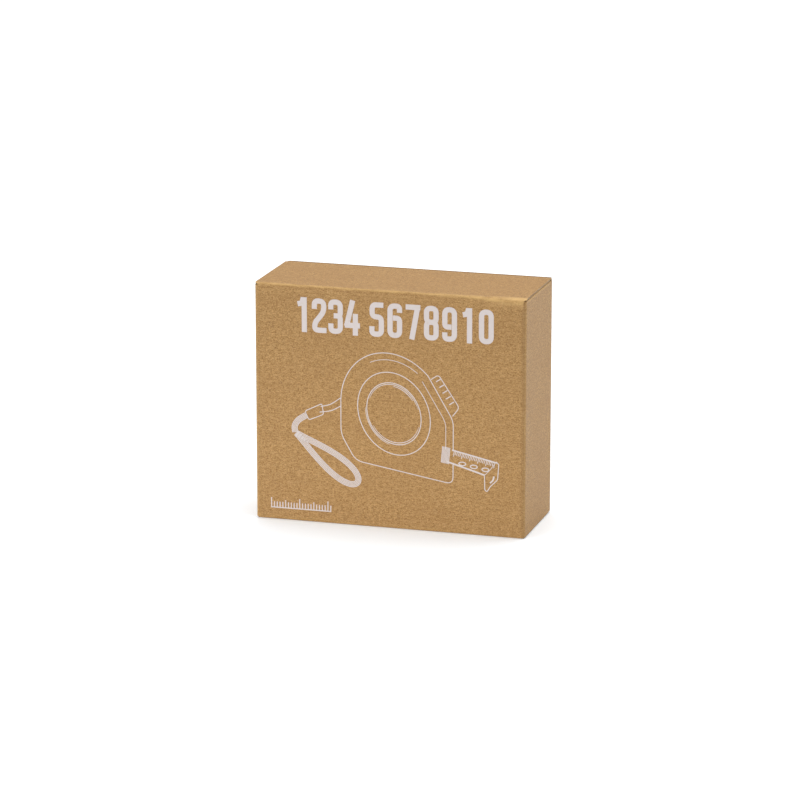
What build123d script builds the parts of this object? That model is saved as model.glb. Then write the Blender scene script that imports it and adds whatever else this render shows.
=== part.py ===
"""A boxed tape measure: a folded board carton with a tuck lid, and the 5 m tape measure that lies in it.

Frame, in millimetres: X across the carton's face, Y from its face to its back, Z up. The origin is the
middle of the base. The tape measure's own outlines are drawn about its spool axis, x forward and z up.
"""
import math
import os

from build123d import *

# ---- Carton -------------------------------------------------------------------------------------
CARTON_W, CARTON_D, CARTON_H = 94.0, 35.4, 82.0
BOARD = 0.5  # thickness of the board
FOLD_R = 1.0  # outer radius of a fold
LID_SIDE_GAP = 0.35  # from the lid's cut ends to the carton's sides
LID_FOLD_RUN = 1.1  # flat stretch of the lid's fold, from its axis to the stiff panel
TUCK_LENGTH = 11.5
TUCK_LEAN = 8.0  # degrees that the tuck flap leans in from the back wall
TUCK_CORNER_R = 7.0
TUCK_BACK_GAP = 0.25
DUST_LENGTH = 17.0  # how far a dust flap reaches in from its side
DUST_DROP = 0.25  # gap between the lid and a dust flap
DUST_RUN = 0.6  # width of a dust flap's fold
DUST_TAPER = 0.47  # how fast a dust flap narrows, so that it clears the lid as both rise
DUST_FRONT_INSET = 1.2
DUST_BACK_Y = 15.4
GLUE_FLAP_W = 12.0
INNER_FLAP_REACH = 22.0

# ---- Tape measure, about its spool axis ------------------------------------------------------------
TAPE_X = -4.0  # spool axis from the middle of the carton
CASE_T = 30.0  # thickness of the case
WALL = 2.0
CASE_R = 32.0  # radius of the round top
CASE_FILLET = 3.4
CHIN_DROP = 35.0  # from the spool axis to the bottom of the chin
RING_PROUD = 0.8
BLADE_W = 19.0
BLADE_T = 0.2
BLADE_CURVE_R = 24.2  # radius of the blade's hollow, at its underside
BLADE_Z = -22.4  # underside of the blade at its middle
BLADE_TAIL_X, BLADE_TIP_X = -12.0, 35.9
COIL_R_IN, COIL_R = 14.1, 20.0  # the wound blade
SPOOL_R = 22.3
POST_R = 3.0
RUNNING_GAP = 0.06
HOOK_X, HOOK_T, HOOK_W = 36.1, 1.0, 17.0
HOOK_FLOAT = 0.8  # the hook slides by its own thickness, so that pushed and pulled readings agree
MOUTH_LOW, MOUTH_HIGH = -25.5, -18.5
LOCK_TURN = 7.0  # degrees that the lock slides round the case
LOCK_LOW, LOCK_HIGH = 44.0, 70.0  # angles of the thumb piece on the round top
STRAP_PIN = (-31.5, -8.0)
STRAP_W, STRAP_T = 10.0, 2.2  # the strap is two layers of webbing
STRAP_IN_R, STRAP_OUT_R = 34.6, 38.0  # centre radii of its two passes over the case

# ---- Worked out from those -------------------------------------------------------------------------
HALF_W, HALF_D = CARTON_W / 2, CARTON_D / 2
IN_W, IN_D = HALF_W - BOARD, HALF_D - BOARD
FLOOR_TOP = 3 * BOARD  # bottom panel, inner flap and dust flaps
TAPE_Z = FLOOR_TOP + 0.3 + CHIN_DROP
LID_AXIS = (-HALF_D + FOLD_R, CARTON_H - FOLD_R)  # (y, z)
TUCK_AXIS = (IN_D - TUCK_BACK_GAP - FOLD_R, CARTON_H - FOLD_R)
DUST_TOP = CARTON_H - BOARD - DUST_DROP
DUST_AXIS_Z = DUST_TOP - BOARD
HALF_T = CASE_T / 2
INSIDE_T = HALF_T - WALL
HALF_BLADE = BLADE_W / 2

# Circles whose hull is the case's side outline: (x, z, radius).
CASE_CIRCLES = [
    (0, 0, CASE_R),
    (-31, -8, 5),
    (-22, -27, 5),
    (31, -28, 4),
    (31, 6, 4),
]
CHIN_CIRCLES = [(14.5, -30.6, 1.2), (21, -32.4, 2.6), (30.8, -31, 4), (34.2, -27.6, 1.4), (14.5, -28.4, 1.2)]
SCREWS = [(-21, -25.5), (8, -27), (30, 6), (-18.4, 18.4)]


def block(x0, x1, y0, y1, z0, z1):
    """A box between two corners."""
    return Pos((x0 + x1) / 2, (y0 + y1) / 2, (z0 + z1) / 2) * Box(x1 - x0, y1 - y0, z1 - z0)


def tape_block(x0, x1, y0, y1, z0, z1):
    """A box between two corners, about the spool axis."""
    return Pos(TAPE_X, 0, TAPE_Z) * block(x0, x1, y0, y1, z0, z1)


def side_prism(sketch, y0, y1):
    """A side outline about the spool axis, given its thickness from y0 to y1."""
    plane = Plane(origin=(TAPE_X, y1, TAPE_Z), x_dir=(1, 0, 0), z_dir=(0, -1, 0))
    return extrude(plane * sketch, amount=y1 - y0)


def rod(x, z, radius, y0, y1):
    """A round bar along Y, about the spool axis."""
    return side_prism(Pos(x, z) * Circle(radius), y0, y1)


def hull(circles, grow=0.0):
    """The outline that a belt round these circles would take."""
    return make_hull([Edge.make_circle(r + grow, Plane(origin=(x, z, 0))) for x, z, r in circles])


def sector(r_in, r_out, start, end, centre=(0, 0)):
    """A stretch of a ring between two angles in degrees, counted from +x towards +z."""
    outer = CenterArc(centre, r_out, start, end - start)
    inner = CenterArc(centre, r_in, start, end - start)
    return make_face([outer, Line(outer @ 1, inner @ 1), inner, Line(inner @ 0, outer @ 0)])


def arc_band(r_in, r_out, start, end, y0, y1):
    """A curved plate about the spool axis."""
    return side_prism(sector(r_in, r_out, start, end), y0, y1)


def cross_prism(sketch, x0, x1):
    """An outline drawn with y across and z up, given its length from x0 to x1."""
    plane = Plane(origin=(x0, 0, 0), x_dir=(0, 1, 0), z_dir=(1, 0, 0))
    return extrude(plane * sketch, amount=x1 - x0)


# ---- Carton ---------------------------------------------------------------------------------------
def wall(corners, z0, z1):
    """One side of the folded sleeve: what of the rounded ring lies inside these corners."""
    ring = RectangleRounded(CARTON_W, CARTON_D, FOLD_R) - RectangleRounded(2 * IN_W, 2 * IN_D, FOLD_R - BOARD)
    return extrude(Pos(0, 0, z0) * (ring & make_face(Polyline(*corners, close=True))), amount=z1 - z0)


def sleeve():
    """The four walls, mitred at the vertical folds, with the fold at the foot of the face."""
    meet = HALF_W - HALF_D  # where the mitre lines reach the middle plane
    x, y = HALF_W, HALF_D
    front = wall([(-x, -y), (x, -y), (meet, 0), (-meet, 0)], FOLD_R, LID_AXIS[1])
    foot = cross_prism(sector(FOLD_R - BOARD, FOLD_R, 180, 270, (LID_AXIS[0], FOLD_R)), -IN_W, IN_W)
    return {
        "front_panel": front + foot,
        "back_panel": wall([(-meet, 0), (meet, 0), (x, y), (-x, y)], BOARD, CARTON_H - 0.1),
        "left_panel": wall([(-x, -y), (-meet, 0), (-x, y)], BOARD, DUST_AXIS_Z),
        "right_panel": wall([(x, -y), (x, y), (meet, 0)], BOARD, DUST_AXIS_Z),
    }


def glue_flap():
    """The strip that joins the sleeve, on the inside of the left wall, with cut corners."""
    y1, y0 = IN_D - 0.6, IN_D - GLUE_FLAP_W
    z0, z1, cut = 4.0, CARTON_H - 6.0, 4.0
    outline = Polyline((y0, z0 + cut), (y1, z0), (y1, z1), (y0, z1 - cut), close=True)
    return cross_prism(make_face(outline), -IN_W, -IN_W + BOARD)


def bottom():
    """The glued bottom: an outer panel from the face, an inner flap from the back, and two dust flaps."""
    lid_half = HALF_W - LID_SIDE_GAP
    parts = {
        "bottom_panel": block(-lid_half, lid_half, LID_AXIS[0], HALF_D - 0.1, 0, BOARD),
        "bottom_inner_flap": block(-IN_W + 0.6, IN_W - 0.6, IN_D - INNER_FLAP_REACH, IN_D, BOARD, 2 * BOARD),
    }
    for name, side in (("bottom_left_dust_flap", -1), ("bottom_right_dust_flap", 1)):
        reach = sorted((side * IN_W, side * (IN_W - DUST_LENGTH)))
        parts[name] = block(*reach, -IN_D + 0.6, IN_D - 0.6, 2 * BOARD, 3 * BOARD)
    return parts


def lid():
    """The lid panel and its tuck flap, each with the fold that it turns on."""
    half = HALF_W - LID_SIDE_GAP
    y_hinge, z_hinge = LID_AXIS
    y_tuck, z_tuck = TUCK_AXIS
    start = y_hinge + LID_FOLD_RUN
    panel = block(-half, half, start, y_tuck, CARTON_H - BOARD, CARTON_H)
    fold = cross_prism(sector(FOLD_R - BOARD, FOLD_R, 90, 180, LID_AXIS), -half, half)
    fold += block(-half, half, y_hinge, start, CARTON_H - BOARD, CARTON_H)

    tuck_half = IN_W - 1.2
    flat = Polyline((-tuck_half, 0), (tuck_half, 0), (tuck_half, -TUCK_LENGTH), (-tuck_half, -TUCK_LENGTH), close=True)
    face = make_face(flat)
    face = fillet(face.vertices().sort_by(Axis.Y)[:2], TUCK_CORNER_R)
    plane = Plane(origin=(0, y_tuck + FOLD_R, z_tuck), x_dir=(1, 0, 0), z_dir=(0, -1, 0))
    tuck = extrude(plane * face, amount=BOARD)
    lean = Axis((0, y_tuck, z_tuck), (1, 0, 0))
    tuck = tuck.rotate(lean, -TUCK_LEAN)
    tuck_fold = cross_prism(sector(FOLD_R - BOARD, FOLD_R, -TUCK_LEAN, 90, TUCK_AXIS), -tuck_half, tuck_half)
    return {"lid_panel": panel, "lid_fold": fold, "lid_tuck_flap": tuck, "tuck_fold": tuck_fold}


def top_dust_flaps():
    """The two flaps under the lid, narrowed towards their tips, each with its fold over the side wall."""
    parts = {}
    front = LID_AXIS[0] + DUST_FRONT_INSET
    fold_front = front + DUST_TAPER * DUST_RUN
    for name, side in (("left", -1), ("right", 1)):
        root, tip = side * (IN_W - DUST_RUN), side * (IN_W - DUST_LENGTH)
        outline = Polyline(
            (root, fold_front),
            (tip, front + DUST_TAPER * DUST_LENGTH),
            (tip, DUST_BACK_Y - 2.5),
            (root, DUST_BACK_Y),
            close=True,
        )
        flap = extrude(Pos(0, 0, DUST_AXIS_Z) * make_face(outline), amount=BOARD)
        arc = CenterArc((0, 0), BOARD, 45 - 45 * side, 90)
        bend = make_face([arc, Line(arc @ 1, (0, 0)), Line((0, 0), arc @ 0)])
        plane = Plane(origin=(side * IN_W, DUST_BACK_Y, DUST_AXIS_Z), x_dir=(1, 0, 0), z_dir=(0, -1, 0))
        span = sorted((root, side * IN_W))
        fold = block(*span, fold_front, DUST_BACK_Y, DUST_AXIS_Z, DUST_TOP)
        fold += extrude(plane * bend, amount=DUST_BACK_Y - fold_front)
        parts[f"{name}_dust_flap"] = flap
        parts[f"{name}_dust_fold"] = fold
    return parts


# ---- Case -----------------------------------------------------------------------------------------
def screw_cuts(side):
    """What the screws need: clearance and a head pocket in the back shell, a pilot hole in the front one."""
    cuts = []
    for x, z in SCREWS:
        if side > 0:
            cuts.append(rod(x, z, 1.25, -0.1, HALF_T + 1))
            cuts.append(rod(x, z, 2.3, HALF_T - 2.6, HALF_T + 1))
        else:
            cuts.append(rod(x, z, 1.12, -11.0, 0.1))
    return cuts


def shell(side):
    """Half of the case, on one side of the middle plane: side is -1 for the face and 1 for the back."""
    span = sorted((0, side * HALF_T))
    body = side_prism(hull(CASE_CIRCLES), *span)
    outer = body.faces().sort_by(Axis.Y)[0 if side < 0 else -1]
    body = fillet(outer.edges(), CASE_FILLET)
    body -= side_prism(hull(CASE_CIRCLES, -WALL), *sorted((0, side * INSIDE_T)))
    inside = sorted((0, side * INSIDE_T))
    cavity = side_prism(hull(CASE_CIRCLES, -WALL), *inside)
    for x, z in SCREWS:
        body += rod(x, z, 2.7, *inside) & side_prism(hull(CASE_CIRCLES, -0.5), *inside)
    boss = rod(0, 0, 5.0, *sorted((side * 11.2, side * INSIDE_T)))
    body += (boss - rod(0, 0, POST_R + 0.02, *span)) & cavity
    cuts = screw_cuts(side)
    cuts.append(tape_block(30, 40, -10.6, 10.6, MOUTH_LOW, MOUTH_HIGH))
    cuts.append(tape_block(-40, -29.5, -4, 4, -11.5, -2.0))  # the strap's way out
    cuts.append(rod(*STRAP_PIN, 1.22, -14.1, 14.1))
    cuts.append(arc_band(31.1, 34, 41, 100, -9.1, 9.1))  # seat of the grip band
    cuts.append(arc_band(28, 34, 46.3, 60.7, -3.4, 3.4))  # slot for the lock's stem
    cuts.append(side_prism(hull(CHIN_CIRCLES, 0.05), -13.55, 13.55))
    groove = side_prism(Circle(24.05) - Circle(18.95), *sorted((side * (HALF_T - 0.6), side * HALF_T)))
    seat = rod(0, 0, 18.2, *sorted((side * (HALF_T - 0.5), side * HALF_T)))
    for cut in cuts + [groove, seat]:
        body -= cut
    return body


def case():
    """The two shells and what is fixed to them."""
    parts = {"case_front_shell": shell(-1), "case_back_shell": shell(1)}
    for name, side in (("front", -1), ("back", 1)):
        ring = side_prism(Circle(24) - Circle(19), *sorted((side * (HALF_T - 0.6), side * (HALF_T + RING_PROUD))))
        rim = ring.faces().sort_by(Axis.Y)[0 if side < 0 else -1]
        parts[f"{name}_side_ring"] = fillet(rim.edges(), 0.6)
        parts[f"{name}_label_disc"] = rod(0, 0, 18.1, *sorted((side * (HALF_T - 0.5), side * (HALF_T + 0.1))))
    screws = [rod(x, z, 1.1, -10.5, 13.0) + rod(x, z, 2.1, HALF_T - 2.6, HALF_T - 1.2) for x, z in SCREWS]
    parts["case_screws"] = Compound(children=[s.solid() for s in screws])
    parts["centre_post"] = rod(0, 0, POST_R, -INSIDE_T, INSIDE_T)
    chin = side_prism(hull(CHIN_CIRCLES), -13.5, 13.5)
    parts["mouth_bumper"] = fillet(chin.faces().filter_by(Axis.Y).edges(), 1.0)
    guide = tape_block(26, 32.8, -12.9, 12.9, -26.1, -20.5)
    hollow = Circle(BLADE_CURVE_R + 0.9)
    guide -= Pos(TAPE_X, 0, TAPE_Z) * cross_prism(Pos(0, BLADE_Z + BLADE_CURVE_R) * hollow, 25, 34)
    parts["blade_guide"] = guide
    band = arc_band(31.2, 32.15, 41.2, 99.8, -9, 9) - arc_band(30, 34, 46.3, 60.7, -3.4, 3.4)
    grooves = [arc_band(31.9, 33, a - 0.6, a + 0.6, -7.5, 7.5) for a in range(76, 98, 4)]
    for groove in grooves:
        band -= groove
    parts["grip_band"] = band
    return parts


# ---- Winding --------------------------------------------------------------------------------------
def mainspring(turns=10, r_start=3.7, r_end=12.5, thickness=0.3):
    """The power spring: half turns about two centres, each a little wider than the last."""
    pitch = (r_end - r_start) / turns
    spiral = Sketch()
    for i in range(2 * turns):
        radius = r_start + (i + 0.5) * pitch / 2
        centre = (0 if i % 2 == 0 else -pitch / 2, 0)
        spiral += sector(radius - thickness / 2, radius + thickness / 2, 180 * (i % 2), 180 * (i % 2) + 180, centre)
    return side_prism(spiral, -7, 7)


def winding():
    """The spool on its post, its spring, the wound blade and the blade's free end."""
    flange, inner = 10.8, 9.8
    drum = rod(0, 0, COIL_R_IN - 0.1, -inner, inner) - rod(0, 0, 13.0, -inner, inner + 1)
    drum += rod(0, 0, SPOOL_R, -flange, -inner)
    bore = rod(0, 0, POST_R + RUNNING_GAP, -12, 12)
    cover = rod(0, 0, SPOOL_R, inner, flange)
    holes = [rod(18 * math.cos(a), 18 * math.sin(a), 1.6, -12, 12) for a in (math.pi / 3 * k for k in range(6))]
    for hole in holes:
        cover -= hole
    coil = rod(0, 0, COIL_R, -HALF_BLADE, HALF_BLADE) - rod(0, 0, COIL_R_IN, -HALF_BLADE, HALF_BLADE)
    return {"spool_drum": drum - bore, "spool_cover": cover - bore, "mainspring": mainspring(), "wound_blade": coil}


def blade():
    """The blade's free end, hollow side up, with the rivets that hold the hook."""
    half_angle = math.degrees(math.asin(HALF_BLADE / (BLADE_CURVE_R - BLADE_T / 2)))
    centre = (0, BLADE_Z + BLADE_CURVE_R)
    section = sector(BLADE_CURVE_R - BLADE_T, BLADE_CURVE_R, 270 - half_angle, 270 + half_angle, centre)
    strip = Pos(TAPE_X, 0, TAPE_Z) * cross_prism(section, BLADE_TAIL_X, BLADE_TIP_X)
    rivets = []
    for x in (30.4, 34.0):
        place = Pos(TAPE_X + x, 0, TAPE_Z)
        strip -= place * Pos(0, 0, BLADE_Z) * Cylinder(1.0, 3)
        shank = place * Pos(0, 0, BLADE_Z + 0.65) * Cylinder(1.0, 2.3)
        foot = place * Pos(0, 0, BLADE_Z - 0.25) * Cylinder(1.6, 0.5)
        head = place * Pos(0, 0, BLADE_Z + 1.75) * Cylinder(1.7, 0.5)
        rivets.append((shank + foot + head).solid())
    return {"blade": strip, "hook_rivets": Compound(children=rivets)}


def end_hook():
    """The hook: a tab on the blade with two slotted holes, and the leg that catches on an edge."""
    tab_z = BLADE_Z + 0.65
    tab = tape_block(27.8, HOOK_X + HOOK_T, -4.5, 4.5, tab_z, tab_z + 0.8)
    for x in (30.4, 34.0):
        slot = Pos(TAPE_X + x - HOOK_FLOAT / 2, 0, TAPE_Z + tab_z) * extrude(SlotCenterToCenter(HOOK_FLOAT + 0.2, 2.2), 2)
        tab -= slot
    leg = tape_block(HOOK_X, HOOK_X + HOOK_T, -HOOK_W / 2, HOOK_W / 2, -31.5, tab_z + 0.8)
    leg = fillet(leg.edges().filter_by(Axis.X).group_by(Axis.Z)[0], 4.0)
    leg = fillet(leg.edges().filter_by(Axis.X).group_by(Axis.Z)[-1], 0.7)
    nail = Rot(0, 90, 0) * extrude(SlotCenterToCenter(2.4, 1.8), 4, both=True)
    return {"end_hook": tab + leg - Pos(TAPE_X + HOOK_X, 0, TAPE_Z - 27.2) * nail}


def lock():
    """The thumb lock: a ribbed cap on the round top, and the arm that brings its tip down on the blade."""
    cap = arc_band(32.5, 34.4, LOCK_LOW, LOCK_HIGH, -7, 7)
    cap = fillet(cap.edges().filter_by(GeomType.CIRCLE).group_by(lambda e: e.radius)[-1], 0.6)
    ribs = [arc_band(34.2, 35.0, a - 0.8, a + 0.8, -6, 6) for a in range(48, 69, 4)]
    for rib in ribs:
        cap += rib
    cap += arc_band(27.5, 32.6, 54, 60, -3, 3)
    return {"lock_button": cap, "lock_brake_arm": arc_band(25.5, 27.5, -51.4 + LOCK_TURN, 60, -4, 4)}


# ---- Strap ----------------------------------------------------------------------------------------
def strap():
    """The wrist strap as it is packed: up the back of the case, over the top, and folded back on itself."""
    rear = math.degrees(math.atan2(16.4, 5.4))  # slope of the case's rear face
    sleeve_mid = (-35.77, 1.91)
    sleeve_length, sleeve_t = 13.0, 3.0
    along = (math.cos(math.radians(rear)), math.sin(math.radians(rear)))
    low = (sleeve_mid[0] - along[0] * sleeve_length / 2, sleeve_mid[1] - along[1] * sleeve_length / 2)
    outline = Pos(*sleeve_mid) * Rot(0, 0, rear) * RectangleRounded(sleeve_length, sleeve_t, 0.8)
    sleeve_part = side_prism(outline, -STRAP_W / 2 - 0.8, STRAP_W / 2 + 0.8)

    reach = math.dist(STRAP_PIN, low)
    lean = math.degrees(math.atan2(low[1] - STRAP_PIN[1], low[0] - STRAP_PIN[0]))
    bar = Pos(*STRAP_PIN) * Rot(0, 0, lean) * Pos((1.8 + reach) / 2, 0) * Rectangle(reach - 1.8, 1.8)
    neck = side_prism((Pos(*STRAP_PIN) * Circle(2.4)) + bar, -2.5, 2.5)
    neck -= rod(*STRAP_PIN, 1.25, -3, 3)
    neck -= sleeve_part

    turn_at = 78.0
    half = STRAP_T / 2
    first = sector(STRAP_IN_R - half, STRAP_IN_R + half, turn_at, 165.0)
    second = sector(STRAP_OUT_R - half, STRAP_OUT_R + half, turn_at, 150.0)
    mid_r, bend_r = (STRAP_IN_R + STRAP_OUT_R) / 2, (STRAP_OUT_R - STRAP_IN_R) / 2
    centre = (mid_r * math.cos(math.radians(turn_at)), mid_r * math.sin(math.radians(turn_at)))
    bend = sector(bend_r - half, bend_r + half, turn_at - 180, turn_at, centre)
    webbing = side_prism(first + second + bend, -STRAP_W / 2, STRAP_W / 2) - sleeve_part
    pin = rod(*STRAP_PIN, 1.2, -14, 14)
    return {"strap_pin": pin, "strap_neck": neck, "strap_sleeve": sleeve_part, "wrist_strap": webbing}


def main():
    parts = {"glue_flap": glue_flap()}
    for group in (sleeve, bottom, lid, top_dust_flaps, case, winding, blade, end_hook, lock, strap):
        parts.update(group())
    os.makedirs("parts", exist_ok=True)
    for name, shape in parts.items():
        export_step(shape, f"parts/{name}.step")
    print(len(parts), "nodes")


main()
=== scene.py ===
"""A boxed tape measure: a kraft carton with a tuck lid, a print on its face, and the tape measure inside.

Lengths are in millimetres until they reach a mesh. Lights, the camera and materials use metres.
Face coordinates (across, up) start at the lower left corner of the carton's printed face.
"""
import math

import bpy
import numpy as np
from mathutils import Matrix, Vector


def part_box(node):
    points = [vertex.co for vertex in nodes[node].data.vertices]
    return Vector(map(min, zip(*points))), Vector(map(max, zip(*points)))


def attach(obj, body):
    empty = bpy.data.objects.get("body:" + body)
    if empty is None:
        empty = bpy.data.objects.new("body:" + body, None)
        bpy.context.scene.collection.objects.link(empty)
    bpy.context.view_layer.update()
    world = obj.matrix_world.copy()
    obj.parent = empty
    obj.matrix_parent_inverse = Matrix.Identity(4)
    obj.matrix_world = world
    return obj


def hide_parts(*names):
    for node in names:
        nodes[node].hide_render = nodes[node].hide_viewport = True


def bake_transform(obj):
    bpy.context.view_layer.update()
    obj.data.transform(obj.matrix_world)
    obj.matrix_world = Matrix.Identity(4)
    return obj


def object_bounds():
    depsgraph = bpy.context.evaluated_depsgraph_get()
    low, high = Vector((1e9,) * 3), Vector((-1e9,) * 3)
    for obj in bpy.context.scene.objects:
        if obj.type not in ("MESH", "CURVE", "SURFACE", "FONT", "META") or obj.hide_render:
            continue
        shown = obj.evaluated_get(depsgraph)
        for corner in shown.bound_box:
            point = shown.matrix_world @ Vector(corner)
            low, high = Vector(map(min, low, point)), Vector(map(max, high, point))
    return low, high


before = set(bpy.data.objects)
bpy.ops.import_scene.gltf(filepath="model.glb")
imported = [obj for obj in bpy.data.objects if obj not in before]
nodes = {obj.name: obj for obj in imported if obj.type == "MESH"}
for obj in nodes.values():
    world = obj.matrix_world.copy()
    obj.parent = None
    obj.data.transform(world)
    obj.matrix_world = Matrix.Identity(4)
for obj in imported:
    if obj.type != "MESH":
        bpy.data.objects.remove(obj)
cad_low, cad_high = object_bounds()
MM = 0.001
scene = bpy.context.scene


def node_box(name):
    """(low, high) of a CAD node in millimetres."""
    low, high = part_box(name)
    return np.array(low) / MM, np.array(high) / MM


# ---- The carton's sizes, from the frame ----
HALF_W, HALF_D, HEIGHT = cad_high.x / MM, cad_high.y / MM, cad_high.z / MM
LID_LOW, LID_HIGH = node_box("lid_panel")
BOARD = LID_HIGH[2] - LID_LOW[2]
LID_HALF = HALF_W - 0.06  # the lid reaches the side walls' outer faces
BOTTOM_HALF = LID_HIGH[0]
FOLD_R = 1.0
FLAT_X = HALF_W - FOLD_R  # where the face's flat part ends
SIDE_TOP = node_box("right_panel")[1][2]
NOTCH_Z = SIDE_TOP - 0.5  # the side walls end here where a dust flap folds over them
BACK_TOP = node_box("back_panel")[1][2]
DUST_LOW, DUST_HIGH = node_box("right_dust_flap")
FLAP_FRONT, FLAP_BACK = (end[1] for end in node_box("right_dust_fold"))
TUCK_Y, TUCK_Z = LID_HIGH[1], HEIGHT - FOLD_R
LID_SEAM_Y = TUCK_Y - 2.5  # the lid's sheet ends here and the tuck's begins
WALL_FOOT = BOARD + 0.05  # the side and back walls start just above the base


# ---- Materials ----
class Nodes:
    """Short calls for building a material's node tree."""

    def __init__(self, name):
        self.material = bpy.data.materials.new(name)
        self.material.use_nodes = True
        self.tree = self.material.node_tree
        self.shader = self.tree.nodes["Principled BSDF"]

    def add(self, kind, **inputs):
        node = self.tree.nodes.new("ShaderNode" + kind)
        for key, value in inputs.items():
            self.put(node, key, value)
        return node

    def put(self, node, key, value):
        """Set or link an input by its name with _ for spaces, or by its number as i0, i1 and so on."""
        numbered = key[0] == "i" and key[1:].isdigit()
        socket = node.inputs[int(key[1:]) if numbered else key.replace("_", " ")]
        if isinstance(value, bpy.types.NodeSocket):
            self.tree.links.new(value, socket)
        else:
            socket.default_value = value

    def math(self, operation, a, b=0.0, clamp=False):
        node = self.add("Math", i0=a, i1=b)
        node.operation = operation
        node.use_clamp = clamp
        return node.outputs[0]

    def mix(self, factor, a, b):
        node = self.tree.nodes.new("ShaderNodeMix")
        node.data_type = "RGBA"
        for index, value in ((0, factor), (6, a), (7, b)):
            if isinstance(value, bpy.types.NodeSocket):
                self.tree.links.new(value, node.inputs[index])
            else:
                node.inputs[index].default_value = value
        return node.outputs[2]

    def noise(self, vector, scale, detail=3.0, roughness=0.55):
        node = self.add("TexNoise", Vector=vector, Scale=scale, Detail=detail, Roughness=roughness)
        return node.outputs["Fac"]

    def ramp(self, factor, low, high):
        """0 below low, 1 above high, straight between."""
        node = self.add("MapRange", Value=factor, From_Min=low, From_Max=high)
        return node.outputs[0]

    def attribute(self, name):
        node = self.tree.nodes.new("ShaderNodeAttribute")
        node.attribute_name = name
        return node

    def stretched(self, vector, scale):
        return self.add("Mapping", Vector=vector, Scale=scale).outputs[0]

    def place(self):
        """Position in the piece's own rest frame, in metres."""
        return self.add("TexCoord").outputs["Object"]

    def bump(self, height, strength, distance):
        node = self.add("Bump", Height=height, Strength=strength, Distance=distance)
        self.put(self.shader, "Normal", node.outputs[0])

    def finish(self, color, roughness, **inputs):
        self.put(self.shader, "Base Color", color)
        self.put(self.shader, "Roughness", roughness)
        for key, value in inputs.items():
            self.put(self.shader, key, value)
        return self.material


def rgb(r, g, b):
    """Linear colour from display values 0 to 255."""
    linear = [((v / 255 + 0.055) / 1.055) ** 2.4 if v > 10 else v / 255 / 12.92 for v in (r, g, b)]
    return (*linear, 1.0)


def kraft(name, edge=False, where="board"):
    """Uncoated kraft board: pulp with a grain across the sheet, short fibres and flecks, paler where scuffed
    at creases, with a painted highlight along the lid's fold and painted shade beside the face's right-hand
    fold.

    where names the attribute with the flat sheet's coordinates. None is the piece's own frame, without wear
    and without painted highlight or shade.
    """
    n = Nodes(name)
    at = n.attribute(where).outputs["Vector"] if where else n.place()
    pulp = n.noise(n.stretched(at, (1900.0, 3300.0, 3300.0)), 1.0, 3.0, 0.7)
    clump = n.noise(n.stretched(at, (800.0, 1700.0, 1700.0)), 1.0, 2.0)
    cloud = n.noise(n.stretched(at, (60.0, 140.0, 140.0)), 1.0, 3.0)
    grain = n.math("ADD", n.math("MULTIPLY", pulp, 0.72), n.math("MULTIPLY", clump, 0.28))
    streak = n.noise(n.stretched(at, (420.0, 1000.0, 1000.0)), 1.0, 3.0)
    color = n.mix(n.ramp(grain, 0.39, 0.6), rgb(120, 83, 32), rgb(191, 149, 93))
    color = n.mix(n.math("MULTIPLY", n.ramp(cloud, 0.35, 0.7), 0.36), color, rgb(148, 108, 60))
    color = n.mix(n.math("MULTIPLY", n.ramp(streak, 0.5, 0.68), 0.3), color, rgb(192, 152, 98))
    color = n.mix(n.math("MULTIPLY", n.ramp(streak, 0.46, 0.3), 0.26), color, rgb(141, 101, 56))
    fibres = None
    for turn in (0.35, 1.4, 2.5):
        lying = n.add("VectorRotate", Vector=at, Angle=turn)
        thread = n.noise(n.stretched(lying.outputs[0], (420.0, 4200.0, 4200.0)), 1.0, 1.0)
        thread = n.ramp(thread, 0.62, 0.74)
        fibres = thread if fibres is None else n.math("MAXIMUM", fibres, thread)
    color = n.mix(n.math("MULTIPLY", fibres, 0.55), color, rgb(199, 162, 109))
    fleck = n.add("TexVoronoi", Vector=at, Scale=700.0, Randomness=1.0)
    rare = n.ramp(fleck.outputs["Distance"], 0.3, 0.12)
    picked = n.ramp(n.noise(at, 310.0, 1.0), 0.55, 0.62)
    color = n.mix(n.math("MULTIPLY", n.math("MULTIPLY", rare, picked), 0.45), color, rgb(116, 84, 48))
    height = n.math("ADD", n.math("MULTIPLY", grain, 0.7), n.math("MULTIPLY", fibres, 0.3))
    if edge:
        layers = n.noise(n.stretched(at, (200.0, 200.0, 6000.0)), 1.0, 2.0)
        color = n.mix(n.ramp(layers, 0.3, 0.7), rgb(126, 95, 58), rgb(172, 142, 98))
    if where:
        wear = n.attribute("wear").outputs["Fac"]
        streaks = n.noise(n.stretched(at, (220.0, 1400.0, 1400.0)), 1.0, 3.0)
        scuff_and_highlight = n.math("MULTIPLY", wear, n.ramp(streaks, 0.2, 0.62), clamp=True)
        # paler where scuffed at the folds, with a painted highlight along the lid's fold
        color = n.mix(scuff_and_highlight, color, rgb(212, 173, 112))
        # painted shade beside the face's right-hand fold
        color = n.mix(n.attribute("dark").outputs["Fac"], color, rgb(108, 78, 44))
    n.bump(height, 0.3, 0.00012)
    rough = n.ramp(grain, -1.1, 1.5)
    return n.finish(color, rough, Specular_IOR_Level=0.35, Sheen_Weight=0.02, Sheen_Roughness=0.4)


def printing_ink():
    """Screen-printed off-white ink that has sunk unevenly into the board."""
    n = Nodes("printing_ink")
    at = n.place()
    thin = n.ramp(n.noise(at, 800.0, 4.0, 0.7), 0.55, 0.8)
    color = n.mix(n.math("MULTIPLY", thin, 0.4), rgb(205, 194, 190), rgb(186, 164, 138))
    n.bump(n.noise(at, 1200.0), 0.25, 0.00005)
    return n.finish(color, 0.55)


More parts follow.
